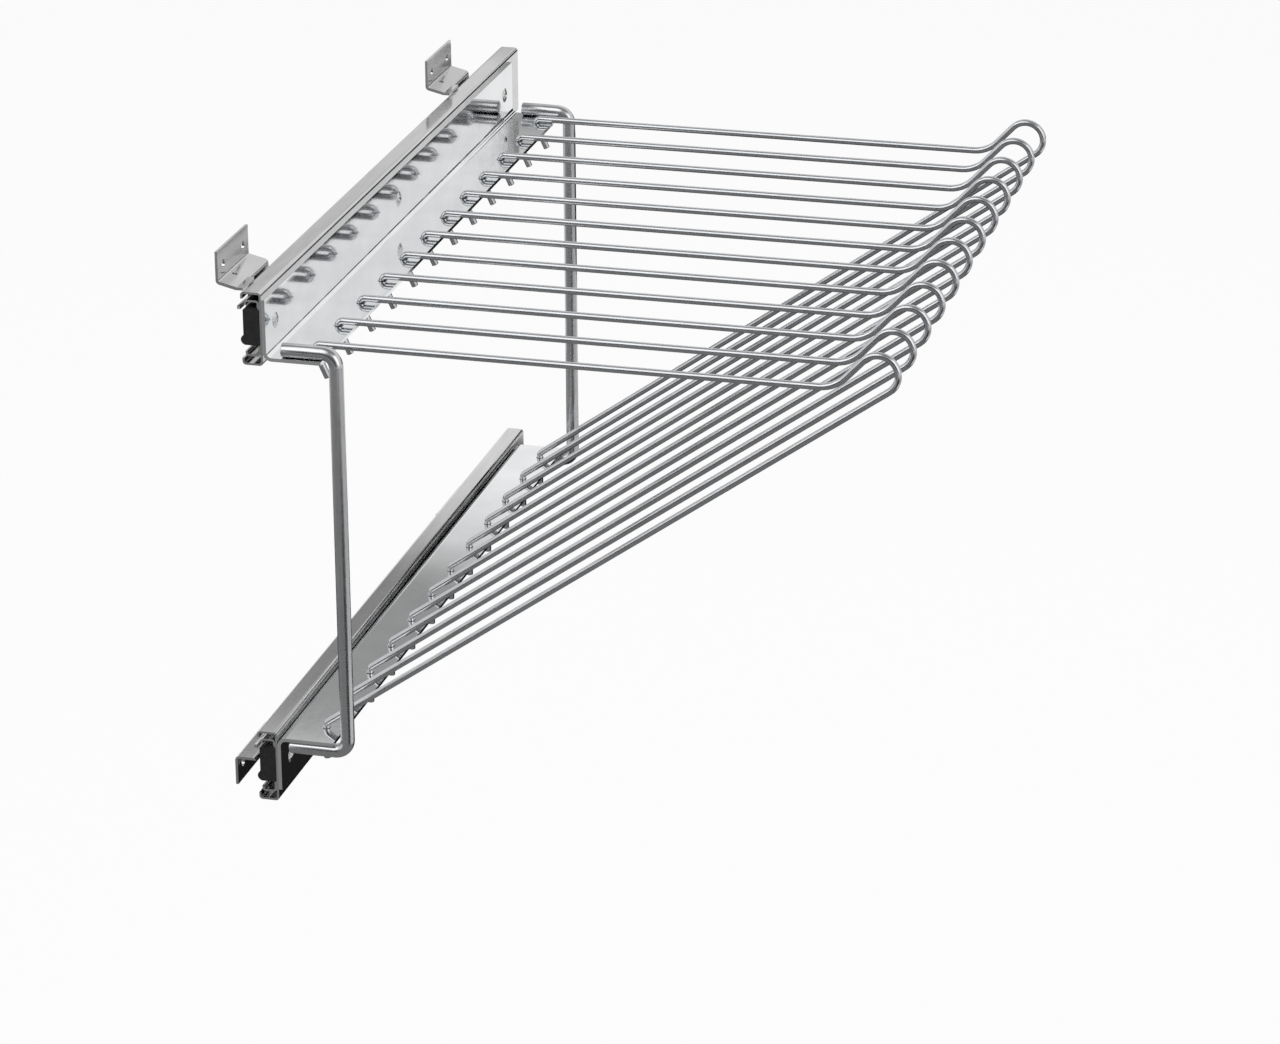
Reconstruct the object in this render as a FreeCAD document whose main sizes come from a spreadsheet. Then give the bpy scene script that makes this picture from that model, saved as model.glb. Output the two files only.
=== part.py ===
import FreeCAD, Part
import math
import os
import Sketcher

# Pull-out trouser rack for the side panel of a wardrobe.
# Frame: X = 0 is the side panel and +X points into the wardrobe, +Y points to the back,
# +Z is up. The origin is the middle of the two screw holes of the upper front bracket.

doc = FreeCAD.newDocument("TrouserRack")

# ---------------------------------------------------------------- driving dimensions
sheet = doc.addObject("Spreadsheet::Sheet", "Sizes")

DRIVING = [
    # slides
    ("slideLength", 500), ("slideHeight", 42), ("slideDepth", 12.7), ("slideTravel", 450),
    ("railSheet", 1.2), ("outerLipEnd", 0.9), ("outerCurl", 4), ("middleCurl", 3),
    ("railGap", 0.4), ("ballDiameter", 3.2), ("ballPlay", 0.2), ("railBend", 0.8),
    ("innerLipGap", 0.7), ("innerSetback", 11), ("middleSetback", 1),
    # ball cages
    ("cageSheet", 0.6), ("cageSideGap", 0.35), ("pocketPlay", 0.15), ("cageEndPlay", 1.5),
    ("ballsPerRow", 4), ("ballEndMargin", 12),
    # front plugs of the middle rails
    ("plugLength", 10), ("plugTop", 11), ("plugBottom", 9.5), ("plugWallGap", 2),
    ("plugBeadRadius", 2.9), ("plugBeadDrop", 6.5), ("plugBeadGap", 0.4),
    # wall brackets
    ("bracketSheet", 1.5), ("bracketLength", 50), ("bracketBend", 1), ("tabReach", 12.8),
    ("bracketSpacing", 384), ("tabOverhang", 2.5), ("tabFall", 2.7),
    ("tabLift", 0.6), ("screwHoleDiameter", 5), ("screwSpacing", 32), ("flangeAboveHoles", 9.5),
    ("holesToSlide", 33), ("legNotch", 19), ("legBelowSlide", 9), ("tabHoleDiameter", 3),
    ("tabHoleInset", 5), ("lowerTabRise", 3.9), ("lowerFlangeDrop", 13.4), ("lowerHoleDrop", 3.5),
    # rivets
    ("bracketRivetDiameter", 4), ("bracketRivetInset", 8), ("bracketRivetPitch", 16),
    ("bracketRivetDrop", 2.5), ("lowerRivetInset", 5), ("lowerRivetPitch", 9),
    ("rivetHeadRatio", 1.8), ("rivetHeadHeight", 1.4), ("plateRivetDiameter", 5),
    ("plateRivetInset", 17), ("rivetPlay", 0.05),
    # carriage plates
    ("plateLength", 480), ("plateSheet", 2), ("plateBend", 3), ("flangeWidth", 33),
    ("plateToSlide", 18), ("webAboveSlide", 17), ("webBelowSlide", 14),
    ("slideSpacing", 261),
    # arms
    ("armCount", 12), ("armPitch", 40), ("wireDiameter", 4), ("armOffset", 18.7),
    ("armLength", 330), ("armGap", 1), ("hookRadius", 3), ("hookDepth", 19), ("hookSplay", 8.5),
    ("riseRadius", 12), ("riseAngle", 55), ("loopRadius", 10.9), ("loopRise", 9.3),
    ("footRadius", 3.5), ("footDepth", 16.5), ("braceTurnHeight", 3),
    ("upperHoleDiameter", 5.6), ("lowerHoleDiameter", 5),
    # end rods
    ("rodDiameter", 8), ("rodBend", 7.5), ("upperRodInset", 7.7), ("lowerRodInset", 4.5),
]
for row, (alias, number) in enumerate(DRIVING, start=1):
    sheet.set("A%d" % row, alias)
    sheet.set("B%d" % row, str(number))
    sheet.setAlias("B%d" % row, alias)
doc.recompute()


class Size:
    """A length with the sheet expression that gives it."""

    def __init__(self, value, text):
        self.value = float(value)
        self.text = text

    def join(self, other, sign, value):
        return Size(value, "(%s %s %s)" % (self.text, sign, other.text))

    def __add__(self, other):
        other = asSize(other)
        return self.join(other, "+", self.value + other.value)

    def __sub__(self, other):
        other = asSize(other)
        return self.join(other, "-", self.value - other.value)

    def __mul__(self, other):
        other = asSize(other)
        return self.join(other, "*", self.value * other.value)

    def __truediv__(self, other):
        other = asSize(other)
        return self.join(other, "/", self.value / other.value)

    def __neg__(self):
        return Size(-self.value, "(0 - %s)" % self.text)


def asSize(number):
    return number if isinstance(number, Size) else Size(number, repr(float(number)))


class Sheet:
    """Reads the driving dimensions as Size objects, such as size.railSheet."""

    def __getattr__(self, alias):
        return Size(sheet.get(alias), "Sizes." + alias)


size = Sheet()
nothing = asSize(0)
parts = []


def keep(feature, label):
    feature.Label = label
    parts.append(feature)
    return feature


# ---------------------------------------------------------------- sketch helpers
def originPlane(body, role):
    for plane in body.Origin.OriginFeatures:
        if plane.Role == role:
            return plane


def newSketch(body, name, role):
    sketch = body.newObject("Sketcher::SketchObject", name)
    sketch.AttachmentSupport = (originPlane(body, role), [""])
    sketch.MapMode = "FlatFace"
    return sketch


def fixCoordinate(sketch, kind, axis, geometry, point, length):
    """Ties one coordinate of a sketch point to the sheet."""
    if abs(length.value) < 1e-9:
        sketch.addConstraint(Sketcher.Constraint("PointOnObject", geometry, point, axis))
        return
    index = sketch.addConstraint(Sketcher.Constraint(kind, -1, 1, geometry, point, length.value))
    sketch.setExpression("Constraints[%d]" % index, length.text)


def fixPoint(sketch, geometry, point, across, up):
    fixCoordinate(sketch, "DistanceX", -2, geometry, point, across)
    fixCoordinate(sketch, "DistanceY", -1, geometry, point, up)


def drawOutline(sketch, corners):
    """Closed outline through the corners, each given as (across, up)."""
    count = len(corners)
    for index in range(count):
        start = corners[index]
        end = corners[(index + 1) % count]
        first = FreeCAD.Vector(start[0].value, start[1].value, 0)
        last = FreeCAD.Vector(end[0].value, end[1].value, 0)
        sketch.addGeometry(Part.LineSegment(first, last), False)
    for index in range(count):
        sketch.addConstraint(Sketcher.Constraint("Coincident", index, 2, (index + 1) % count, 1))
        fixPoint(sketch, index, 1, corners[index][0], corners[index][1])


def drawCircle(sketch, across, up, diameter):
    centre = FreeCAD.Vector(across.value, up.value, 0)
    circle = Part.Circle(centre, FreeCAD.Vector(0, 0, 1), diameter.value / 2)
    index = sketch.addGeometry(circle, False)
    radius = sketch.addConstraint(Sketcher.Constraint("Radius", index, diameter.value / 2))
    sketch.setExpression("Constraints[%d]" % radius, (diameter / 2).text)
    fixPoint(sketch, index, 3, across, up)


def bindPlace(feature, across, along, up):
    """Places a feature by expressions, so that it follows the sheet."""
    base = FreeCAD.Vector(across.value, along.value, up.value)
    feature.Placement = FreeCAD.Placement(base, FreeCAD.Rotation())
    for axis, length in (("x", across), ("y", along), ("z", up)):
        feature.setExpression("Placement.Base." + axis, length.text)


def padOn(body, sketch, length):
    """Runs a sketch of the XZ plane along +Y and adds it to the body."""
    pad = body.newObject("PartDesign::Pad", sketch.Name + "_pad")
    pad.Profile = sketch
    pad.Length = length.value
    pad.setExpression("Length", length.text)
    pad.Reversed = True
    doc.recompute()
    sketch.Visibility = False


def profileBody(label, corners, length):
    """Sheet or rail profile drawn in the XZ plane and run along +Y."""
    body = keep(doc.addObject("PartDesign::Body", label), label)
    sketch = newSketch(body, label + "_profile", "XZ_Plane")
    drawOutline(sketch, [corner[:2] for corner in corners])
    padOn(body, sketch, length)
    roundBends(body, corners)
    return body


def bendEdge(shape, across, up):
    """Name of the edge along Y through the given corner of the profile."""
    for index, edge in enumerate(shape.Edges, start=1):
        ends = [vertex.Point for vertex in edge.Vertexes]
        if all(abs(end.x - across) < 1e-5 and abs(end.z - up) < 1e-5 for end in ends):
            return "Edge%d" % index
    raise RuntimeError("no bend at %.2f, %.2f" % (across, up))


def roundBends(body, corners):
    """One fillet for each bend radius that the corners name."""
    radii = {}
    for corner in corners:
        if len(corner) == 3:
            radii.setdefault(corner[2].text, []).append(corner)
    for number, group in enumerate(radii.values(), start=1):
        base = body.Tip
        names = [bendEdge(base.Shape, corner[0].value, corner[1].value) for corner in group]
        fillet = body.newObject("PartDesign::Fillet", "%s_bend%d" % (body.Label, number))
        fillet.Base = (base, names)
        fillet.Radius = group[0][2].value
        fillet.setExpression("Radius", group[0][2].text)
        doc.recompute()


def cutThrough(body, name, role, circles, pitch=None, count=None):
    """Round holes drawn on an origin plane, cut both ways, and repeated along Y if asked."""
    before = body.Shape.Volume
    sketch = newSketch(body, name, role)
    for across, up, diameter in circles:
        drawCircle(sketch, across, up, diameter)
    pocket = body.newObject("PartDesign::Pocket", name + "_cut")
    pocket.Profile = sketch
    pocket.Type = "ThroughAll"
    pocket.Midplane = True
    doc.recompute()
    sketch.Visibility = False
    if count is not None:
        pattern = body.newObject("PartDesign::LinearPattern", name + "_row")
        pattern.Originals = [pocket]
        pattern.Direction = (originAxis(body, "Y_Axis"), [""])
        pattern.Occurrences = int(count.value)
        pattern.setExpression("Occurrences", count.text)
        pattern.Length = (pitch * (count - 1)).value
        pattern.setExpression("Length", (pitch * (count - 1)).text)
        body.Tip = pattern
        doc.recompute()
    if body.Shape.Volume >= before:
        raise RuntimeError(name + " cut nothing")


def originAxis(body, role):
    for axis in body.Origin.OriginFeatures:
        if axis.Role == role:
            return axis


# ---------------------------------------------------------------- places shared by the pieces
slideLeft = size.tabReach
slideRight = slideLeft + size.slideDepth
nearEnd = -(size.bracketLength / 2)
farEnd = nearEnd + size.slideLength
plateFarEnd = nearEnd + size.plateLength
centres = {
    "upper": -size.holesToSlide,
    "lower": -(size.holesToSlide + size.slideSpacing),
}
halfOuter = size.slideHeight / 2
rowSpace = size.ballDiameter + size.ballPlay * 2
halfMiddle = halfOuter - size.railSheet - rowSpace
halfInner = halfMiddle - size.railSheet - rowSpace
outerRow = halfMiddle + rowSpace / 2
innerRow = halfInner + rowSpace / 2
middleWebRight = size.slideDepth - size.railSheet - size.railGap
middleWebLeft = middleWebRight - size.railSheet
middleLipEnd = size.outerLipEnd + size.railSheet + size.railGap
innerLipEnd = middleWebLeft - size.innerLipGap
outerBend = size.railSheet + size.railBend


# ---------------------------------------------------------------- slide rails
def channelCorners(back, front, half, curl):
    """C profile with its back at one side, lips at top and bottom and curled lip ends."""
    sheetIn = size.railSheet if back.value < front.value else -size.railSheet
    inward = front - sheetIn
    corners = []
    for sign in (1, -1):
        lip = half * sign
        side = [
            (back, lip, outerBend),
            (front, lip, outerBend),
            (front, (half - curl) * sign),
            (inward, (half - curl) * sign),
            (inward, (half - size.railSheet) * sign, size.railBend),
            (back + sheetIn, (half - size.railSheet) * sign, size.railBend),
        ]
        corners += side if sign == 1 else side[::-1]
    return corners


def lipCorners(back, front, half):
    """C profile with plain lips, for the innermost rail."""
    corners = []
    for sign in (1, -1):
        side = [
            (back, half * sign, outerBend),
            (front, half * sign),
            (front, (half - size.railSheet) * sign),
            (back + size.railSheet, (half - size.railSheet) * sign, size.railBend),
        ]
        corners += side if sign == 1 else side[::-1]
    return corners


def makeRails(side):
    centre = centres[side]
    outer = profileBody(
        side + "_outer_rail",
        channelCorners(size.slideDepth, size.outerLipEnd, halfOuter, size.outerCurl),
        size.slideLength)
    bindPlace(outer, slideLeft, nearEnd, centre)
    cutThrough(outer, side + "_outer_rivet_holes", "YZ_Plane",
               [(along - nearEnd, nothing, plateRivetHole) for along in plateRivetPlaces])

    middle = profileBody(
        side + "_middle_rail",
        channelCorners(middleWebRight, middleLipEnd, halfMiddle, size.middleCurl),
        size.slideLength - size.middleSetback)
    bindPlace(middle, slideLeft, nearEnd + size.middleSetback, centre)

    inner = profileBody(
        side + "_inner_rail",
        lipCorners(nothing, innerLipEnd, halfInner),
        size.slideLength - size.innerSetback)
    bindPlace(inner, slideLeft, nearEnd + size.innerSetback, centre)
    cutThrough(inner, side + "_inner_rivet_holes", "YZ_Plane",
               [(along - nearEnd - size.innerSetback, -size.bracketRivetDrop, bracketRivetHole)
                for along in bracketRivetPlaces(side)])


# ---------------------------------------------------------------- ball cages and balls
# a cage rolls a quarter of the travel along each of its two rails and stays on both
cageNear = nearEnd + size.innerSetback + size.slideTravel / 4 + size.cageEndPlay
cageLength = farEnd - size.slideTravel / 4 - size.cageEndPlay - cageNear


def ballPlaces():
    first = cageNear + size.ballEndMargin
    step = (cageLength - size.ballEndMargin * 2) / (size.ballsPerRow - 1)
    return [first + step * number for number in range(int(size.ballsPerRow.value))]


def makeCage(side, stage, row, left, right):
    """Two flat strips, one over and one under the slide's middle, with a pocket for each ball."""
    label = "%s_%s_cage" % (side, stage)
    pocketRadius = size.ballDiameter / 2 + size.pocketPlay
    ballAcross = (left + right) / 2
    strips = []
    for sign in (1, -1):
        strip = doc.addObject("Part::Box", "%s_strip%d" % (label, sign))
        for name, length in (("Length", right - left), ("Width", cageLength),
                             ("Height", size.cageSheet)):
            setattr(strip, name, length.value)
            strip.setExpression(name, length.text)
        bindPlace(strip, slideLeft + left, cageNear,
                  centres[side] + row * sign - size.cageSheet / 2)
        pockets = []
        for along in ballPlaces():
            pocket = doc.addObject("Part::Cylinder", label + "_pocket")
            pocket.Radius = pocketRadius.value
            pocket.setExpression("Radius", pocketRadius.text)
            pocket.Height = (size.cageSheet * 3).value
            pocket.setExpression("Height", (size.cageSheet * 3).text)
            bindPlace(pocket, slideLeft + ballAcross, along,
                      centres[side] + row * sign - size.cageSheet * 1.5)
            pockets.append(pocket)
        tools = doc.addObject("Part::Compound", label + "_pockets")
        tools.Links = pockets
        cut = doc.addObject("Part::Cut", label + "_cut")
        cut.Base = strip
        cut.Tool = tools
        strips.append(cut)
    cage = keep(doc.addObject("Part::Compound", label), label)
    cage.Links = strips

    balls = []
    for sign in (1, -1):
        for along in ballPlaces():
            ball = doc.addObject("Part::Sphere", label + "_ball")
            ball.Radius = (size.ballDiameter / 2).value
            ball.setExpression("Radius", (size.ballDiameter / 2).text)
            bindPlace(ball, slideLeft + ballAcross, along, centres[side] + row * sign)
            balls.append(ball)
    group = keep(doc.addObject("Part::Compound", label + "_balls"),
                 "%s_%s_balls" % (side, stage))
    group.Links = balls


def makeCages(side):
    makeCage(side, "outer", outerRow, size.outerLipEnd + size.railSheet + size.cageSideGap,
             size.slideDepth - size.railSheet - size.cageSideGap)
    makeCage(side, "inner", innerRow, middleLipEnd + size.railSheet + size.cageSideGap,
             middleWebLeft - size.cageSideGap)


# ---------------------------------------------------------------- front plugs
def makePlug(side):
    """Black plug in the mouth of the middle rail, with a round bead and a flange over its end."""
    label = side + "_front_plug"
    corners = [
        (size.plugWallGap, size.plugTop, size.railBend),
        (size.plugWallGap, -size.plugBottom, size.railBend),
        (middleWebLeft, -size.plugBottom),
        (middleWebLeft, size.plugTop + size.railSheet, size.railBend),
    ]
    body = profileBody(label, corners, size.plugLength)
    bindPlace(body, slideLeft, nearEnd, centres[side])
    sketch = newSketch(body, label + "_bead", "XZ_Plane")
    drawCircle(sketch, size.plugBeadRadius + size.plugBeadGap, -size.plugBeadDrop,
               size.plugBeadRadius * 2)
    padOn(body, sketch, size.plugLength)
    sketch = newSketch(body, label + "_flange", "XZ_Plane")
    drawOutline(sketch, [(size.plugWallGap + size.railSheet, -size.plugBottom),
                         (middleWebRight, -size.plugBottom),
                         (middleWebRight, size.plugTop),
                         (size.plugWallGap + size.railSheet, size.plugTop)])
    padOn(body, sketch, size.middleSetback)


# ---------------------------------------------------------------- wall brackets
bracketNearEnds = {"near": nearEnd, "far": nearEnd + size.bracketSpacing}
bracketRivetHole = size.bracketRivetDiameter + size.rivetPlay * 2
plateRivetHole = size.plateRivetDiameter + size.rivetPlay * 2
plateRivetPlaces = [
    nearEnd + size.plateRivetInset,
    nearEnd + size.plateLength / 2,
    plateFarEnd - size.plateRivetInset,
]
bracketBendOut = size.bracketBend + size.bracketSheet
legLeft = slideLeft - size.bracketSheet
tabBottoms = {
    "upper": centres["upper"] + halfOuter + size.tabLift,
    "lower": centres["lower"] + size.lowerTabRise - size.bracketSheet,
}
legEnds = {side: centre - size.legBelowSlide for side, centre in centres.items()}


def bracketRivetOffsets(side):
    """At the back of the upper leg, and between the notch and the back screw of the lower one."""
    if side == "upper":
        last = size.bracketLength - size.bracketRivetInset
        return [last - size.bracketRivetPitch, last]
    first = size.legNotch + size.lowerRivetInset
    return [first, first + size.lowerRivetPitch]


def bracketRivetPlaces(side):
    return [start + offset for start in bracketNearEnds.values()
            for offset in bracketRivetOffsets(side)]


def upperBracketCorners():
    """Z profile: screw flange up the side panel, tab falling to the slide, leg down its back."""
    tabBottom = tabBottoms["upper"]
    tabTop = tabBottom + size.bracketSheet
    legEnd = legEnds["upper"]
    return [
        (nothing, size.flangeAboveHoles),
        (nothing, tabBottom + size.tabFall, bracketBendOut),
        (legLeft, tabBottom, size.bracketBend),
        (legLeft, legEnd),
        (slideLeft, legEnd),
        (slideLeft, tabTop, bracketBendOut),
        (size.bracketSheet, tabTop + size.tabFall, size.bracketBend),
        (size.bracketSheet, size.flangeAboveHoles),
    ]


def lowerBracketCorners():
    """Inverted U profile: screw flange down the side panel, tab, leg down the slide's back."""
    tabBottom = tabBottoms["lower"]
    tabTop = tabBottom + size.bracketSheet
    legEnd = legEnds["lower"]
    flangeEnd = centres["lower"] - size.lowerFlangeDrop
    return [
        (nothing, flangeEnd),
        (size.bracketSheet, flangeEnd),
        (size.bracketSheet, tabBottom, size.bracketBend),
        (legLeft, tabBottom, size.bracketBend),
        (legLeft, legEnd),
        (slideLeft, legEnd),
        (slideLeft, tabTop, bracketBendOut),
        (nothing, tabTop, bracketBendOut),
    ]


def notchLeg(body, side):
    """Cuts the leg back from the front, so that the front end of the slide stays open."""
    before = body.Shape.Volume
    bottom = legEnds[side] - size.bracketSheet
    sketch = newSketch(body, body.Label + "_notch", "XZ_Plane")
    left = legLeft - size.bracketSheet
    drawOutline(sketch, [(left, bottom), (slideLeft + size.bracketSheet, bottom),
                         (slideLeft + size.bracketSheet, tabBottoms[side]),
                         (left, tabBottoms[side])])
    pocket = body.newObject("PartDesign::Pocket", body.Label + "_notch_cut")
    pocket.Profile = sketch
    pocket.Length = size.legNotch.value
    pocket.setExpression("Length", size.legNotch.text)
    pocket.Reversed = True
    doc.recompute()
    if body.Shape.Volume >= before:
        pocket.Reversed = False
        doc.recompute()
    sketch.Visibility = False
    if body.Shape.Volume >= before:
        raise RuntimeError(body.Label + " notch cut nothing")


def extendTab(body):
    """Runs the front of the upper tab straight on over the slide, where the leg is notched."""
    sketch = newSketch(body, body.Label + "_tab", "XZ_Plane")
    right = slideLeft + size.tabOverhang
    bottom = tabBottoms["upper"]
    top = bottom + size.bracketSheet
    drawOutline(sketch, [(legLeft, bottom), (right, bottom), (right, top), (legLeft, top)])
    padOn(body, sketch, size.legNotch)


def makeBracket(side, end):
    label = "%s_%s_bracket" % (side, end)
    corners = upperBracketCorners() if side == "upper" else lowerBracketCorners()
    body = profileBody(label, corners, size.bracketLength)
    bindPlace(body, nothing, bracketNearEnds[end], nothing)
    notchLeg(body, side)
    if side == "upper":
        extendTab(body)
    holeHeight = nothing if side == "upper" else centres["lower"] - size.lowerHoleDrop
    middle = size.bracketLength / 2
    screws = [(middle - size.screwSpacing / 2, holeHeight, size.screwHoleDiameter),
              (middle + size.screwSpacing / 2, holeHeight, size.screwHoleDiameter)]
    rivets = [(offset, centres[side] - size.bracketRivetDrop, bracketRivetHole)
              for offset in bracketRivetOffsets(side)]
    cutThrough(body, label + "_side_holes", "YZ_Plane", screws + rivets)
    if side == "upper":
        cutThrough(body, label + "_tab_hole", "XY_Plane",
                   [(size.tabHoleInset, middle - size.screwSpacing / 4, size.tabHoleDiameter)])


# ---------------------------------------------------------------- rivets
def rivetShape(diameter, left, right, along, up, headLeft, headRight):
    """Rivet along X with a domed head at either end where one is wanted."""
    axis = FreeCAD.Vector(1, 0, 0)
    shape = Part.makeCylinder(diameter / 2, right - left, FreeCAD.Vector(left, along, up), axis)
    headRadius = diameter * size.rivetHeadRatio.value / 2
    height = size.rivetHeadHeight.value
    domeRadius = (headRadius ** 2 + height ** 2) / (2 * height)
    for wanted, base, outward in ((headLeft, left, -1), (headRight, right, 1)):
        if not wanted:
            continue
        centre = FreeCAD.Vector(base + outward * (height - domeRadius), along, up)
        ball = Part.makeSphere(domeRadius, centre)
        slab = Part.makeCylinder(headRadius * 1.5, height * 2,
                                 FreeCAD.Vector(base, along, up), axis * outward)
        shape = shape.fuse(ball.common(slab))
    return shape.removeSplitter()


def makeRivetGroup(label, solids):
    feature = keep(doc.addObject("Part::Feature", label), label)
    feature.Shape = Part.makeCompound(solids)


def makeRivets(side):
    up = centres[side].value
    bracketUp = (centres[side] - size.bracketRivetDrop).value
    bracketSolids = [
        rivetShape(size.bracketRivetDiameter.value, legLeft.value,
                   (slideLeft + size.railSheet).value, along.value, bracketUp, True, True)
        for along in bracketRivetPlaces(side)]
    makeRivetGroup(side + "_bracket_rivets", bracketSolids)
    plateSolids = [
        rivetShape(size.plateRivetDiameter.value, (slideRight - size.railSheet).value,
                   (slideRight + size.plateSheet).value, along.value, up, False, True)
        for along in plateRivetPlaces]
    makeRivetGroup(side + "_plate_rivets", plateSolids)


# ---------------------------------------------------------------- carriage plates
upperFlangeBottom = centres["upper"] - size.plateToSlide
upperFlangeTop = upperFlangeBottom + size.plateSheet
lowerFlangeTop = centres["lower"] + size.plateToSlide
lowerFlangeBottom = lowerFlangeTop - size.plateSheet
flangeEdge = slideRight + size.flangeWidth
webRight = slideRight + size.plateSheet
plateBendOut = size.plateBend + size.plateSheet
armLeft = webRight + size.armOffset
wireRadius = size.wireDiameter / 2
wireHeight = upperFlangeTop + size.armGap + wireRadius
hookCorner = armLeft + wireRadius / 2
firstArm = nearEnd + (size.plateLength - size.armPitch * (size.armCount - 1)) / 2
footAcross = armLeft + wireRadius


def hookAcross(up):
    """X of the hook leg's centre line at a height between the arm and the leg's end."""
    return hookCorner + size.hookSplay * (wireHeight - up) / size.hookDepth


def makePlate(side):
    if side == "upper":
        corners = [
            (slideRight, upperFlangeBottom, plateBendOut),
            (flangeEdge, upperFlangeBottom),
            (flangeEdge, upperFlangeTop),
            (webRight, upperFlangeTop, size.plateBend),
            (webRight, centres[side] + size.webAboveSlide),
            (slideRight, centres[side] + size.webAboveSlide),
        ]
        hole = (hookAcross((upperFlangeTop + upperFlangeBottom) / 2), size.upperHoleDiameter)
    else:
        corners = [
            (slideRight, lowerFlangeTop, plateBendOut),
            (slideRight, centres[side] - size.webBelowSlide),
            (webRight, centres[side] - size.webBelowSlide),
            (webRight, lowerFlangeBottom, size.plateBend),
            (flangeEdge, lowerFlangeBottom),
            (flangeEdge, lowerFlangeTop),
        ]
        hole = (footAcross, size.lowerHoleDiameter)
    body = profileBody(side + "_plate", corners, size.plateLength)
    bindPlace(body, nothing, nearEnd, nothing)
    cutThrough(body, side + "_arm_holes", "XY_Plane",
               [(hole[0], firstArm - nearEnd, hole[1])], size.armPitch, size.armCount)
    cutThrough(body, side + "_rivet_holes", "YZ_Plane",
               [(along - nearEnd, centres[side], plateRivetHole) for along in plateRivetPlaces])


# ---------------------------------------------------------------- bent wire and rod
def bentPath(corners):
    """Wire in the XZ plane through (x, z, bend radius) corners, with tangent arcs."""
    points = [FreeCAD.Vector(x, 0, z) for x, z, radius in corners]
    edges = []
    start = points[0]
    for index in range(1, len(points) - 1):
        corner = points[index]
        radius = corners[index][2]
        back = (points[index - 1] - corner).normalize()
        ahead = (points[index + 1] - corner).normalize()
        half = back.getAngle(ahead) / 2
        run = radius / math.tan(half)
        bisector = (back + ahead).normalize()
        entry = corner + back * run
        leave = corner + ahead * run
        middle = corner + bisector * (radius / math.sin(half) - radius)
        edges.append(Part.LineSegment(start, entry).toShape())
        edges.append(Part.Arc(entry, middle, leave).toShape())
        start = leave
    edges.append(Part.LineSegment(start, points[-1]).toShape())
    return edges


def tube(edges, diameter):
    """Round bar swept along a chain of tangent lines and arcs."""
    path = Part.Wire(edges)
    start = edges[0].valueAt(edges[0].FirstParameter)
    heading = edges[0].tangentAt(edges[0].FirstParameter)
    section = Part.Wire([Part.makeCircle(diameter / 2, start, heading)])
    return path.makePipeShell([section], True, False)


def armEdges():
    """Centre line of one arm: hook leg, arm, rise, nose loop, brace and upright foot."""
    height = wireHeight.value
    loopRadius = size.loopRadius.value
    loopX = armLeft.value + size.armLength.value - loopRadius - wireRadius.value
    loopZ = height + size.loopRise.value
    rise = math.radians(size.riseAngle.value)
    entryX = loopX - loopRadius * math.sin(rise)
    entryZ = loopZ + loopRadius * math.cos(rise)
    riseX = entryX - (entryZ - height) / math.tan(rise)
    footX = footAcross.value
    footTop = lowerFlangeTop.value + size.braceTurnHeight.value
    footEnd = lowerFlangeBottom.value - size.footDepth.value

    # the brace leaves the loop where the line from the foot touches it
    reach = math.hypot(loopX - footX, loopZ - footTop)
    toLoop = math.atan2(loopZ - footTop, loopX - footX)
    lean = toLoop - math.asin(loopRadius / reach)
    exitX = loopX + loopRadius * math.sin(lean)
    exitZ = loopZ - loopRadius * math.cos(lean)

    upper = bentPath([
        (hookCorner.value + size.hookSplay.value, height - size.hookDepth.value, 0),
        (hookCorner.value, height, size.hookRadius.value),
        (riseX, height, size.riseRadius.value),
        (entryX, entryZ, 0),
    ])
    front = (lean - rise) / 2
    nose = Part.Arc(FreeCAD.Vector(entryX, 0, entryZ),
                    FreeCAD.Vector(loopX + loopRadius * math.cos(front), 0,
                                   loopZ + loopRadius * math.sin(front)),
                    FreeCAD.Vector(exitX, 0, exitZ)).toShape()
    lower = bentPath([
        (exitX, exitZ, 0),
        (footX, footTop, size.footRadius.value),
        (footX, footEnd, 0),
    ])
    return upper + [nose] + lower


def makeArms():
    shape = tube(armEdges(), size.wireDiameter.value)
    for number in range(1, int(size.armCount.value) + 1):
        along = firstArm.value + size.armPitch.value * (size.armCount.value - number)
        arm = keep(doc.addObject("Part::Feature", "arm%02d" % number), "arm_%02d" % number)
        arm.Shape = shape
        arm.Placement = FreeCAD.Placement(FreeCAD.Vector(0, along, 0), FreeCAD.Rotation())


def makeRod(label, along):
    """C-shaped end rod on the upper flange and under the lower one, bent just past their edges."""
    radius = size.rodDiameter.value / 2
    top = upperFlangeTop.value + radius
    bottom = lowerFlangeBottom.value - radius
    topLeft = webRight.value + size.upperRodInset.value
    bottomLeft = webRight.value + size.lowerRodInset.value
    bend = size.rodBend.value
    right = flangeEdge.value + bend
    edges = bentPath([
        (topLeft, top, 0),
        (right, top, bend),
        (right, bottom, bend),
        (bottomLeft, bottom, 0),
    ])
    rod = keep(doc.addObject("Part::Feature", label), label)
    rod.Shape = tube(edges, size.rodDiameter.value)
    rod.Placement = FreeCAD.Placement(FreeCAD.Vector(0, along, 0), FreeCAD.Rotation())


# ---------------------------------------------------------------- build
for side in ("upper", "lower"):
    makeRails(side)
    makeCages(side)
    makePlug(side)
    for end in ("near", "far"):
        makeBracket(side, end)
    makePlate(side)
    makeRivets(side)
makeArms()
makeRod("near_end_rod", (nearEnd + size.rodDiameter / 2).value)
makeRod("far_end_rod", (plateFarEnd - size.rodDiameter / 2).value)
doc.recompute()

for feature in doc.Objects:
    if "Invalid" in feature.State or "Error" in feature.State:
        raise RuntimeError("%s did not build: %s" % (feature.Name, feature.State))
for part in parts:
    if part.Shape.isNull() or not part.Shape.isValid():
        raise RuntimeError(part.Label + " has no valid shape")

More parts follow.
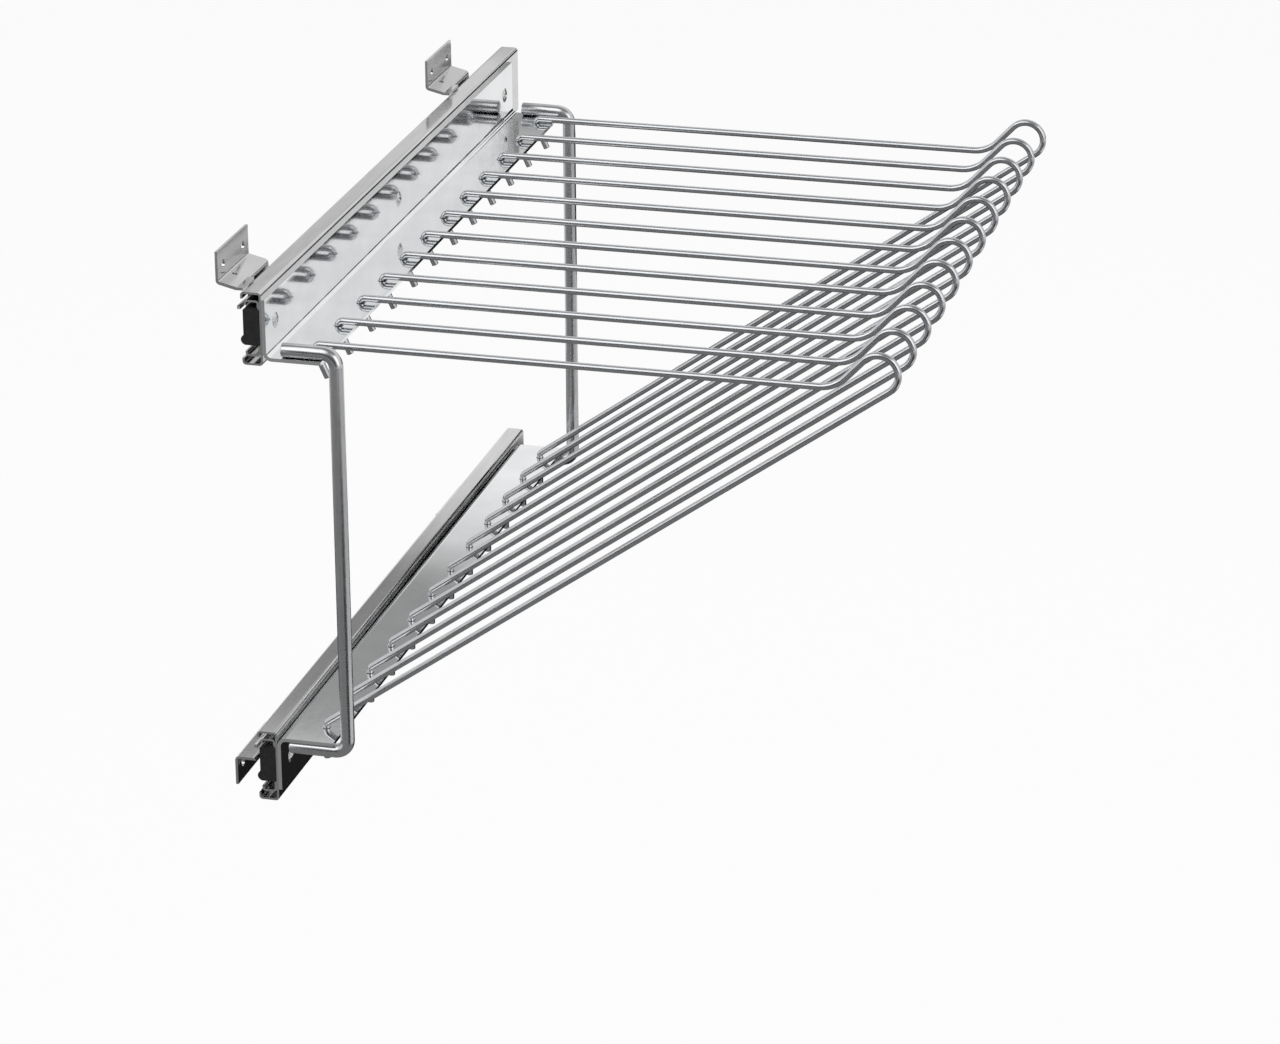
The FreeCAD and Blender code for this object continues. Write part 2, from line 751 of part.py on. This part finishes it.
os.makedirs("parts", exist_ok=True)
for part in parts:
    part.Shape.exportStep("parts/%s.step" % part.Label)
    print("%-24s %d solids %10.1f mm3" % (part.Label, len(part.Shape.Solids), part.Shape.Volume))
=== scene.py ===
import bpy
import math
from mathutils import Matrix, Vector


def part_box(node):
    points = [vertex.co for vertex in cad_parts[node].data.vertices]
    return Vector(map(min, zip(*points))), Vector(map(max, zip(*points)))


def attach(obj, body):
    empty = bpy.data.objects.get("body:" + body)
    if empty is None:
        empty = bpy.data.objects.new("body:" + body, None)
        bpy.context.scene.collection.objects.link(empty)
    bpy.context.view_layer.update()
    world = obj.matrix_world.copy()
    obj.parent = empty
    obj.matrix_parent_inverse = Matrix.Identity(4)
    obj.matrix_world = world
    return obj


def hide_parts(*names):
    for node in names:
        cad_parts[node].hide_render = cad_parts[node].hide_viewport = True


# Pull-out trouser rack: bent wire arms on two sheet steel plates, carried by two ball slides.
# Lengths are in metres. X points into the wardrobe, Y to the back, Z up.

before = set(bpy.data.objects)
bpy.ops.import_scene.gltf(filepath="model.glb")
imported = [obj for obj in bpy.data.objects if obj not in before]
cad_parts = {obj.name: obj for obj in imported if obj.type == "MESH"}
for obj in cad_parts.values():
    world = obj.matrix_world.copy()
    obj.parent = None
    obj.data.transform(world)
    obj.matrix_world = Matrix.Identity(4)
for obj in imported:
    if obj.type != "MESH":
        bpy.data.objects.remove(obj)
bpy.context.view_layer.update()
sides = ("upper", "lower")
armNames = ["arm_%02d" % number for number in range(1, 13)]
print("loaded", len(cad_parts), "nodes")

edges = {
    "nodeAngle": 30,       # degrees: a node's edges sharper than this stay crisp
    "pieceAngle": 40,      # the same for new pieces
    "bevelAngle": 60,      # new pieces' edges sharper than this are rounded
    "bevelSegments": 2,
    "mergeDistance": 0.00001,
}


# small helpers
def deselectAll():
    bpy.ops.object.select_all(action="DESELECT")


def pick(piece):
    deselectAll()
    piece.select_set(True)
    bpy.context.view_layer.objects.active = piece


def settle(piece):
    # puts the object at the origin with its place in its mesh
    pick(piece)
    bpy.ops.object.transform_apply(location=True, rotation=True, scale=True)


def smooth(piece, angle):
    pick(piece)
    bpy.ops.object.shade_smooth_by_angle(angle=math.radians(angle))


def roundEdges(piece, width):
    # bevels the sharp edges, then shades the rest smooth
    pick(piece)
    bevel = piece.modifiers.new("bevel", "BEVEL")
    bevel.limit_method = "ANGLE"
    bevel.angle_limit = math.radians(edges["bevelAngle"])
    bevel.width = width
    bevel.segments = edges["bevelSegments"]
    bpy.ops.object.modifier_apply(modifier=bevel.name)
    smooth(piece, edges["pieceAngle"])


def paint(piece, material):
    piece.data.materials.clear()
    piece.data.materials.append(material)


def finishPiece(piece, body, slotName, material, *nodes):
    paint(piece, material)
    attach(piece, body)
    if nodes:
        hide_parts(*nodes)


# materials: each reads Object coordinates, which are metres in the part's own frame
noiseLook = {
    # most of a noise lies between low and high, which are spread over the wanted range
    "low": 0.3,
    "high": 0.7,
    "cloudScale": 38,      # features per metre
    "cloudDetail": 3,
    "wearDetail": 4,
    "waveDetail": 1,
    "grainDetail": 2,
}


def newMaterial(name):
    material = bpy.data.materials.new(name)
    material.use_nodes = True
    tree = material.node_tree
    return material, tree, tree.nodes["Principled BSDF"]


def addNode(tree, kind, **inputs):
    node = tree.nodes.new(kind)
    for name, value in inputs.items():
        node.inputs[name].default_value = value
    return node


def pattern(tree, scale, detail, stretch=(1, 1, 1)):
    # noise over the piece's own coordinates; scale is features per metre
    coordinates = tree.nodes.new("ShaderNodeTexCoord")
    mapping = addNode(tree, "ShaderNodeMapping", Scale=stretch)
    noise = addNode(tree, "ShaderNodeTexNoise", Scale=scale, Detail=detail)
    tree.links.new(coordinates.outputs["Object"], mapping.inputs["Vector"])
    tree.links.new(mapping.outputs["Vector"], noise.inputs["Vector"])
    return noise.outputs["Fac"]


def spread(tree, source, low, high):
    # maps a noise onto a range of values
    ramp = addNode(tree, "ShaderNodeMapRange", **{
        "From Min": noiseLook["low"], "From Max": noiseLook["high"],
        "To Min": low, "To Max": high})
    tree.links.new(source, ramp.inputs["Value"])
    return ramp.outputs["Result"]


def tint(tree, source, dark, light):
    # maps a noise onto a range of colours
    ramp = tree.nodes.new("ShaderNodeValToRGB")
    first, last = ramp.color_ramp.elements
    first.position, first.color = noiseLook["low"], (*dark, 1)
    last.position, last.color = noiseLook["high"], (*light, 1)
    tree.links.new(source, ramp.inputs["Fac"])
    return ramp.outputs["Color"]


def addBump(tree, shader, height, distance):
    # a second bump goes on top of the first
    bump = addNode(tree, "ShaderNodeBump", Strength=1.0, Distance=distance)
    tree.links.new(height, bump.inputs["Height"])
    if shader.inputs["Normal"].is_linked:
        tree.links.new(shader.inputs["Normal"].links[0].from_socket, bump.inputs["Normal"])
    tree.links.new(bump.outputs["Normal"], shader.inputs["Normal"])


def platedSteel(name, look):
    material, tree, shader = newMaterial(name)
    stretch = look.get("stretch", (1, 1, 1))
    shader.inputs["Metallic"].default_value = 1.0
    cloud = pattern(tree, noiseLook["cloudScale"], noiseLook["cloudDetail"], stretch)
    dark = tuple(look["colour"] * (1 - look["cloud"]) * share for share in look["cast"])
    light = tuple(look["colour"] * (1 + look["cloud"]) * share for share in look["cast"])
    tree.links.new(tint(tree, cloud, dark, light), shader.inputs["Base Color"])
    wear = pattern(tree, look["wearScale"], noiseLook["wearDetail"], stretch)
    tree.links.new(spread(tree, wear, *look["rough"]), shader.inputs["Roughness"])
    if "waves" in look:
        depth, scale = look["waves"]
        addBump(tree, shader, pattern(tree, scale, noiseLook["waveDetail"]), depth)
    if "grain" in look:
        depth, scale = look["grain"]
        addBump(tree, shader, pattern(tree, scale, noiseLook["grainDetail"], stretch), depth)
    return material


steelLooks = {
    # colour is the plating's brightness, cloud how much it varies, cast its slight tint,
    # rough its roughness range; waves and grain are a bump's depth and its features per metre
    "sheetChrome": {"colour": 0.79, "cloud": 0.05, "cast": (0.99, 1.0, 1.01), "wearScale": 260,
                    "rough": (0.05, 0.10), "waves": (0.00010, 24), "grain": (0.000002, 900)},
    "bracketSteel": {"colour": 0.54, "cloud": 0.05, "cast": (1.0, 1.0, 1.0), "wearScale": 300,
                     "rough": (0.1, 0.17), "waves": (0.00005, 40), "grain": (0.000001, 900)},
    "wireChrome": {"colour": 0.52, "cloud": 0.06, "cast": (0.98, 1.0, 1.03), "wearScale": 140,
                   "rough": (0.17, 0.23), "stretch": (1, 6, 6)},
    "rodChrome": {"colour": 0.55, "cloud": 0.05, "cast": (0.99, 1.0, 1.02), "wearScale": 200,
                  "rough": (0.2, 0.26), "stretch": (4, 4, 1)},
    "railZinc": {"colour": 0.58, "cloud": 0.06, "cast": (1.0, 1.0, 1.0), "wearScale": 260,
                 "rough": (0.09, 0.16), "waves": (0.00003, 24), "stretch": (6, 1, 6)},
    "cageZinc": {"colour": 0.55, "cloud": 0.1, "cast": (1.0, 1.0, 0.98), "wearScale": 260,
                 "rough": (0.2, 0.32), "grain": (0.000004, 900)},
    "ballSteel": {"colour": 0.72, "cloud": 0.05, "cast": (0.99, 1.0, 1.02), "wearScale": 900,
                  "rough": (0.03, 0.07)},
    "rivetSteel": {"colour": 0.6, "cloud": 0.08, "cast": (1.0, 1.0, 1.0), "wearScale": 500,
                   "rough": (0.1, 0.2), "grain": (0.000003, 900)},
}
plasticLook = {
    "dark": (0.006, 0.006, 0.007),
    "light": (0.014, 0.014, 0.015),
    "rough": (0.38, 0.55),
    "grain": 0.00006,
    # each noise is its features per metre and its detail
    "cloudNoise": (420, 3),
    "wearNoise": (900, 2),
    "grainNoise": (2600, 2),
}


def blackPlastic(look):
    material, tree, shader = newMaterial("black moulded plastic")
    cloud = pattern(tree, *look["cloudNoise"])
    tree.links.new(tint(tree, cloud, look["dark"], look["light"]), shader.inputs["Base Color"])
    wear = pattern(tree, *look["wearNoise"])
    tree.links.new(spread(tree, wear, *look["rough"]), shader.inputs["Roughness"])
    addBump(tree, shader, pattern(tree, *look["grainNoise"]), look["grain"])
    return material


finishes = {name: platedSteel(name, look) for name, look in steelLooks.items()}
finishes["plugPlastic"] = blackPlastic(plasticLook)
print("materials made")

# every node gets a finish by the first of these words that its name holds
nodeFinishes = {
    "plug": "plugPlastic",
    "rivets": "rivetSteel",
    "cage": "cageZinc",
    "balls": "ballSteel",
    "rail": "railZinc",
    "bracket": "bracketSteel",
}
for name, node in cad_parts.items():
    words = [word for word in nodeFinishes if word in name]
    paint(node, finishes[nodeFinishes[words[0]] if words else "sheetChrome"])
    smooth(node, edges["nodeAngle"])
print("nodes painted")


# bent wire: a disc is extruded along each straight run and spun round each bend
def bentMoves(corners):
    # corners are (x, z, bend radius); gives the runs and bends between them
    points = [Vector((x, 0, z)) for x, z, radius in corners]
    moves = []
    start = points[0]
    for index in range(1, len(points) - 1):
        corner = points[index]
        radius = corners[index][2]
        back = (points[index - 1] - corner).normalized()
        ahead = (points[index + 1] - corner).normalized()
        half = back.angle(ahead) / 2
        entry = corner + back * (radius / math.tan(half))
        leave = corner + ahead * (radius / math.tan(half))
        centre = corner + (back + ahead).normalized() * (radius / math.sin(half))
        turn = math.copysign(math.pi - 2 * half, (-back).cross(ahead).y)
        moves += [("run", entry - start), ("bend", centre, turn)]
        start = leave
    moves.append(("run", points[-1] - start))
    return moves


def bendWire(name, start, moves, look):
    heading = moves[0][1].normalized()
    deselectAll()
    bpy.ops.mesh.primitive_circle_add(
        vertices=look["sides"], radius=look["thickness"] / 2, fill_type="NGON", location=start,
        rotation=heading.to_track_quat("Z", "Y").to_euler())
    wire = bpy.context.object
    wire.name = name
    settle(wire)
    bpy.ops.object.mode_set(mode="EDIT")
    bpy.ops.mesh.select_all(action="SELECT")
    for kind, *values in moves:
        if kind == "run":
            bpy.ops.mesh.extrude_region_move(TRANSFORM_OT_translate={"value": values[0]})
        else:
            centre, turn = values
            steps = round(abs(turn) / math.radians(look["stepAngle"]))
            bpy.ops.mesh.spin(steps=steps, angle=-turn, center=centre, axis=(0, 1, 0))
    bpy.ops.mesh.select_all(action="SELECT")
    bpy.ops.mesh.remove_doubles(threshold=edges["mergeDistance"])
    bpy.ops.mesh.normals_make_consistent(inside=False)
    bpy.ops.object.mode_set(mode="OBJECT")
    roundEdges(wire, look["endRound"])
    return wire


armLook = {
    "thickness": 0.004,
    "sides": 20,
    "stepAngle": 8,        # degrees of bend in each segment
    "endRound": 0.0005,
    "height": -0.046,      # centre line of the straight arm
    "left": 0.0462,        # outside of the hook
    "reach": 0.330,        # outside of the hook to the nose
    "hookCorner": 0.001,   # outside of the hook to the corner that its bend rounds off
    "hookDepth": 0.019,
    "hookSplay": 0.0085,
    "hookRadius": 0.003,   # all radii are those of the centre line
    "riseAngle": 47,       # degrees above level
    "riseRadius": 0.020,
    "loopRadius": 0.0109,
    "loopRise": 0.0093,    # the loop's middle above the straight arm
    "footTop": -0.273,     # where the brace turns down through the plate
    "footBottom": -0.2945,
    "footRadius": 0.0035,
}


def makeArms(look):
    half = look["thickness"] / 2
    hookX = look["left"] + look["hookCorner"]
    footX = look["left"] + half
    loop = Vector((look["left"] + look["reach"] - look["loopRadius"] - half, 0,
                   look["height"] + look["loopRise"]))
    # the rise and the brace both run into the loop without a corner
    rise = math.radians(look["riseAngle"])
    entry = loop + Vector((-math.sin(rise), 0, math.cos(rise))) * look["loopRadius"]
    riseX = entry.x - (entry.z - look["height"]) / math.tan(rise)
    toLoop = loop - Vector((footX, 0, look["footTop"]))
    lean = math.atan2(toLoop.z, toLoop.x) - math.asin(look["loopRadius"] / toLoop.length)
    leave = loop + Vector((math.sin(lean), 0, -math.cos(lean))) * look["loopRadius"]

    start = Vector((hookX + look["hookSplay"], 0, look["height"] - look["hookDepth"]))
    moves = bentMoves([
        (start.x, start.z, 0),
        (hookX, look["height"], look["hookRadius"]),
        (riseX, look["height"], look["riseRadius"]),
        (entry.x, entry.z, 0),
    ])
    moves.append(("bend", loop, math.pi + rise - lean))
    moves += bentMoves([
        (leave.x, leave.z, 0),
        (footX, look["footTop"], look["footRadius"]),
        (footX, look["footBottom"], 0),
    ])
    first = bendWire("arm_wire", start, moves, look)
    for name in armNames:
        low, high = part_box(name)
        pick(first)
        bpy.ops.object.duplicate()
        arm = bpy.context.object
        arm.name = name + "_wire"
        arm.location.y = (low.y + high.y) / 2
        settle(arm)
        finishPiece(arm, "carriage", "chrome", finishes["wireChrome"], name)
    bpy.data.objects.remove(first)


makeArms(armLook)
print("arms bent")


rodLook = {
    "thickness": 0.008,
    "sides": 32,
    "stepAngle": 6,        # degrees of bend in each segment
    "endRound": 0.0008,
    "bend": 0.0075,        # the bends' radius on the centre line
    "topSetback": 0.0032,  # the upper end stops short of the lower one
}


def makeRod(name, look):
    low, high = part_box(name)
    half = look["thickness"] / 2
    right = high.x - half
    top = high.z - half
    bottom = low.z + half
    start = Vector((low.x + look["topSetback"], 0, top))
    moves = bentMoves([
        (start.x, top, 0),
        (right, top, look["bend"]),
        (right, bottom, look["bend"]),
        (low.x, bottom, 0),
    ])
    rod = bendWire(name + "_bar", start, moves, look)
    rod.location.y = (low.y + high.y) / 2
    settle(rod)
    finishPiece(rod, "carriage", "chrome", finishes["rodChrome"], name)


for name in ("near_end_rod", "far_end_rod"):
    makeRod(name, rodLook)
print("rods bent")


# front end of each middle rail: a short guide tongue beside the plug
tongueLook = {
    "length": 0.020,       # along the rail
    "front": -0.0275,
    "left": 0.0126,
    "width": 0.0019,
    "top": 0.0124,         # above the plug's middle
    "height": 0.0020,
    "bands": 5,            # level bands of its height, 0 the lowest
    "sunkBands": {"upper": (1, 2, 3), "lower": (1, 3)},
    "sunkEnds": {"upper": True, "lower": False},  # whether the grooves go round its ends
    "groove": 0.0003,      # depth of the sunk bands
    "lip": 0.000075,       # how much of a band stays proud along its borders
    "edge": 0.0001,
}


def makeTongue(side, look):
    low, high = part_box(side + "_front_plug")
    centre = (low.z + high.z) / 2
    deselectAll()
    bpy.ops.mesh.primitive_cube_add(size=1, location=(
        look["left"] + look["width"] / 2, look["front"] + look["length"] / 2,
        centre + look["top"] - look["height"] / 2))
    tongue = bpy.context.object
    tongue.name = side + "_guide_tongue"
    tongue.scale = (look["width"], look["length"], look["height"])
    settle(tongue)
    bottom = centre + look["top"] - look["height"]
    bpy.ops.object.mode_set(mode="EDIT")
    bpy.ops.mesh.select_mode(type="FACE")
    for band in range(1, look["bands"]):
        cut = bottom + band / look["bands"] * look["height"]
        bpy.ops.mesh.select_all(action="SELECT")
        bpy.ops.mesh.bisect(plane_co=(0, 0, cut), plane_no=(0, 0, 1))
    bpy.ops.object.mode_set(mode="OBJECT")
    # the grooves run along it, one above the other
    for face in tongue.data.polygons:
        band = int((face.center.z - bottom) / look["height"] * look["bands"])
        atEnd = abs(face.normal.y) > abs(face.normal.x)
        face.select = band in look["sunkBands"][side] and (look["sunkEnds"][side] or not atEnd)
    bpy.ops.object.mode_set(mode="EDIT")
    bpy.ops.mesh.inset(thickness=look["lip"], depth=-look["groove"], use_individual=True)
    bpy.ops.object.mode_set(mode="OBJECT")
    roundEdges(tongue, look["edge"])
    finishPiece(tongue, side + "_middle", "zinc_steel", finishes["railZinc"])


for side in sides:
    makeTongue(side, tongueLook)
print("tongues made")


# studio: pale floor, soft lamps and cards that only the chrome sees
white = (1, 1, 1, 1)
studio = {
    "floorHeight": -0.95,
    "floorSize": 40,
    "floorWhite": 0.85,
    "floorRough": 0.9,
    "shadowShare": 0.08,   # how much of the floor's own shade the camera sees
    "worldWhite": 1.0,
    "worldLight": 0.55,
}


def backgroundShare(tree):
    # 1 for rays from the camera, mirrors and glass, 0 for light that falls on things
    path = tree.nodes.new("ShaderNodeLightPath")
    share = path.outputs["Is Camera Ray"]
    for ray in ("Is Glossy Ray", "Is Transmission Ray"):
        either = tree.nodes.new("ShaderNodeMath")
        either.operation = "MAXIMUM"
        tree.links.new(share, either.inputs[0])
        tree.links.new(path.outputs[ray], either.inputs[1])
        share = either.outputs[0]
    return share


def makeFloor(look):
    deselectAll()
    bpy.ops.mesh.primitive_plane_add(size=look["floorSize"], location=(0, 0, look["floorHeight"]))
    floor = bpy.context.object
    floor.name = "studio_floor"
    settle(floor)
    material, tree, shader = newMaterial("pale studio floor")
    shader.inputs["Base Color"].default_value = (look["floorWhite"],) * 3 + (1,)
    shader.inputs["Roughness"].default_value = look["floorRough"]
    shader.inputs["Specular IOR Level"].default_value = 0.0
    glow = addNode(tree, "ShaderNodeEmission", Color=white, Strength=1.0)
    mix = tree.nodes.new("ShaderNodeMixShader")
    share = tree.nodes.new("ShaderNodeMath")
    share.operation = "MULTIPLY"
    share.inputs[1].default_value = 1 - look["shadowShare"]
    tree.links.new(backgroundShare(tree), share.inputs[0])
    tree.links.new(share.outputs[0], mix.inputs["Fac"])
    tree.links.new(shader.outputs["BSDF"], mix.inputs[1])
    tree.links.new(glow.outputs["Emission"], mix.inputs[2])
    tree.links.new(mix.outputs["Shader"], tree.nodes["Material Output"].inputs["Surface"])
    paint(floor, material)


def makeWorld(look):
    world = bpy.data.worlds.new("studio")
    bpy.context.scene.world = world
    world.use_nodes = True
    tree = world.node_tree
    background = tree.nodes["Background"]
    background.inputs["Color"].default_value = white
    background.inputs["Strength"].default_value = look["worldLight"]
    seen = addNode(tree, "ShaderNodeBackground", Color=white, Strength=look["worldWhite"])
    mix = tree.nodes.new("ShaderNodeMixShader")
    tree.links.new(backgroundShare(tree), mix.inputs["Fac"])
    tree.links.new(background.outputs["Background"], mix.inputs[1])
    tree.links.new(seen.outputs["Background"], mix.inputs[2])
    tree.links.new(mix.outputs["Shader"], tree.nodes["World Output"].inputs["Surface"])


def heightGreys(tree, greys):
    # a colour that runs through the greys as the height does
    low, high = greys[0][0], greys[-1][0]
    coordinates = tree.nodes.new("ShaderNodeTexCoord")
    parts = tree.nodes.new("ShaderNodeSeparateXYZ")
    height = addNode(tree, "ShaderNodeMapRange", **{"From Min": low, "From Max": high})
    ramp = tree.nodes.new("ShaderNodeValToRGB")
    while len(ramp.color_ramp.elements) < len(greys):
        ramp.color_ramp.elements.new(1)
    for stop, (level, grey) in zip(ramp.color_ramp.elements, greys):
        stop.position = (level - low) / (high - low)
        stop.color = (grey, grey, grey, 1)
    tree.links.new(coordinates.outputs["Object"], parts.inputs["Vector"])
    tree.links.new(parts.outputs["Z"], height.inputs["Value"])
    tree.links.new(height.outputs["Result"], ramp.inputs["Fac"])
    return ramp.outputs["Color"]


def makeCard(name, look):
    # a studio card: the camera and the lamps' light pass it, only reflections show it
    deselectAll()
    aim = Vector(look["facing"]).to_track_quat("Z", "Y").to_euler()
    bpy.ops.mesh.primitive_plane_add(size=1, location=look["centre"], rotation=aim)
    card = bpy.context.object
    card.name = name
    card.scale = (*look["size"], 1)
    settle(card)
    material, tree, shader = newMaterial(name)
    glow = addNode(tree, "ShaderNodeEmission", Strength=1.0)
    if "greys" in look:
        tree.links.new(heightGreys(tree, look["greys"]), glow.inputs["Color"])
    else:
        grey = look["grey"]
        glow.inputs["Color"].default_value = (grey, grey, grey, 1)
    tree.links.new(glow.outputs["Emission"], tree.nodes["Material Output"].inputs["Surface"])
    paint(card, material)
    card.visible_camera = False
    card.visible_diffuse = False
    card.visible_shadow = False


def addLamp(name, look, target):
    deselectAll()
    aim = (Vector(look["place"]) - Vector(target)).to_track_quat("Z", "Y").to_euler()
    bpy.ops.object.light_add(type="AREA", location=look["place"], rotation=aim)
    lamp = bpy.context.object
    lamp.name = name
    lamp.data.shape = "RECTANGLE"
    lamp.data.size, lamp.data.size_y = look["size"]
    lamp.data.energy = look["power"]
    lamp.visible_glossy = look["mirrored"]


lampTarget = (0.2, 0.2, -0.17)
lamps = {
    # power is in watts; a mirrored lamp shows in reflections
    "key_lamp": {"place": (-0.9, -1.6, 1.9), "size": (2.4, 2.4), "power": 26, "mirrored": True},
    "fill_lamp": {"place": (2.0, -1.2, 0.7), "size": (1.6, 2.0), "power": 12, "mirrored": True},
    "back_lamp": {"place": (0.6, 2.2, 1.6), "size": (2.4, 1.2), "power": 14, "mirrored": False},
}
cards = {
    # a card has one grey, or greys as (height, grey) from its low edge up
    "low_front_card": {"centre": (-0.75, -1.1, -0.8), "size": (3.3, 3.0), "facing": (0, 0, 1),
                       "grey": 0.26},
    "low_line_card": {"centre": (1.17, -1.15, -0.78), "size": (1.16, 1.4), "facing": (0, 0, 1),
                      "grey": 0.015},
    "low_right_card": {"centre": (2.15, 0.1, -0.8), "size": (1.8, 3.0), "facing": (0, 0, 1),
                       "grey": 0.6},
    "low_back_card": {"centre": (-0.3, 1.1, -0.8), "size": (2.4, 1.4), "facing": (0, 0, 1),
                      "grey": 0.015},
    "camera_side_card": {"centre": (0.9, -3.7, 0.8), "size": (8.0, 4.8), "facing": (0, 1, 0),
                         "greys": ((-1.6, 0.05), (0.3, 0.10), (1.2, 0.22), (3.2, 0.45))},
    "ceiling_card": {"centre": (0.2, -0.8, 3.0), "size": (6.0, 4.4), "facing": (0, 0, -1),
                     "grey": 0.36},
    "back_left_card": {"centre": (-0.19, 0.56, -0.02), "size": (0.42, 0.48), "facing": (0, -1, 0),
                       "greys": ((-0.26, 1.0), (-0.21, 1.0), (-0.16, 0.75), (-0.125, 0.34),
                                 (-0.01, 0.36), (0.03, 0.92), (0.19, 0.66), (0.22, 0.66))},
    "groove_card": {"centre": (0.41, 1.2, -0.025), "size": (0.70, 0.21), "facing": (0, -1, 0),
                    "grey": 0.015},
    "back_right_card": {"centre": (0.16, 0.56, -0.145), "size": (0.28, 0.11),
                        "facing": (0, -1, 0), "grey": 0.015},
    "bend_card": {"centre": (0.165, 1.2, 0.225), "size": (0.17, 0.09), "facing": (0, -1, 0),
                  "grey": 0.015},
    "back_dark_card": {"centre": (1.6, 2.0, -0.28), "size": (2.8, 0.26), "facing": (0, -1, 0),
                       "grey": 0.02},
}
makeFloor(studio)
makeWorld(studio)
for name, look in lamps.items():
    addLamp(name, look, lampTarget)
for name, look in cards.items():
    makeCard(name, look)
print("studio set")

# camera: degrees round the object and above it, and how far back from the target it stands
lens = {
    "azimuth": 13.93,
    "elevation": 21.15,
    "distance": 2.7335,
    "target": (0.2121, 0.2290, -0.1948),
    "focalPixels": 4578.9,
    "imageWidth": 1280,
    "sensor": 36,          # millimetres
    "shift": (-0.0530, -0.0377),
    "farthest": 100,
}


def makeCamera(look):
    around = math.radians(look["azimuth"])
    above = math.radians(look["elevation"])
    back = Vector((math.sin(around) * math.cos(above), -math.cos(around) * math.cos(above),
                   math.sin(above)))
    deselectAll()
    bpy.ops.object.camera_add(location=Vector(look["target"]) + back * look["distance"],
                              rotation=(math.pi / 2 - above, 0, around))
    camera = bpy.context.object
    camera.data.sensor_width = look["sensor"]
    camera.data.lens = look["focalPixels"] / look["imageWidth"] * look["sensor"]
    camera.data.shift_x, camera.data.shift_y = look["shift"]
    camera.data.clip_end = look["farthest"]
    bpy.context.scene.camera = camera


makeCamera(lens)
bpy.context.scene.view_settings.view_transform = "Standard"

deselectAll()
